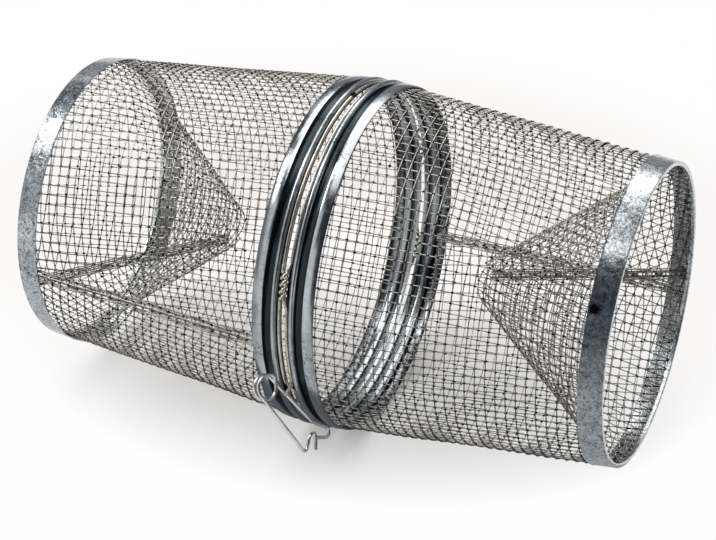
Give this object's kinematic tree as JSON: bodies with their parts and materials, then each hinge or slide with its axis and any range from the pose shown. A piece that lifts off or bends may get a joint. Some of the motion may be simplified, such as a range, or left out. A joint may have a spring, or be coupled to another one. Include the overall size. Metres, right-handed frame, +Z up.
{
  "type": "minnow trap",
  "caption": "Two-piece torpedo-shaped wire mesh minnow trap with inward funnels at both ends, folded zinc bands and rims, and a safety-pin clip at the joint.",
  "frame": {"origin": "middle of the joint plane between the two halves, on the axis of the trap", "axes": "+X along the trap towards the mouth of the right half, +Z up, -Y towards the side that shows the clip"},
  "size_m": [0.4, 0.2453, 0.2304],
  "materials": {
    "zinc_sheet": "spangled galvanized zinc, satin",
    "galvanized_wire": "hot-dipped galvanized wire, dull",
    "bright_wire": "bright steel wire"
  },
  "bodies": {
    "left_half": {"left_rim": "zinc_sheet", "left_end_band": "zinc_sheet", "left_body_mesh": "galvanized_wire", "left_funnel": "galvanized_wire", "upper_tie_wire": "bright_wire", "lower_tie_wire": "bright_wire"},
    "right_half": {"right_rim": "zinc_sheet", "right_end_band": "zinc_sheet", "right_body_mesh": "galvanized_wire", "right_funnel": "galvanized_wire"},
    "clip": {"clip_arm": "bright_wire"},
    "latch": {"clip_latch": "bright_wire"}
  },
  "joints": [
    {"name": "halves_part", "type": "slide", "parent": "left_half", "child": "right_half", "axis": [1, 0, 0], "range_m": [0, 0.22]},
    {"name": "clip_swing", "type": "hinge", "parent": "left_half", "child": "clip", "pos_m": [-0.0055, -0.11067, -0.03873], "axis": [0.5045, 0.2852, -0.8149], "range_deg": [-12, 60]},
    {"name": "clip_latch_open", "type": "hinge", "parent": "clip", "child": "latch", "pos_m": [-0.01067, -0.12023, -0.03533], "axis": [-0.8528, 0.3122, -0.4187], "range_deg": [0, 25], "stiffness_Nm_per_rad": 0.05}
  ]
}
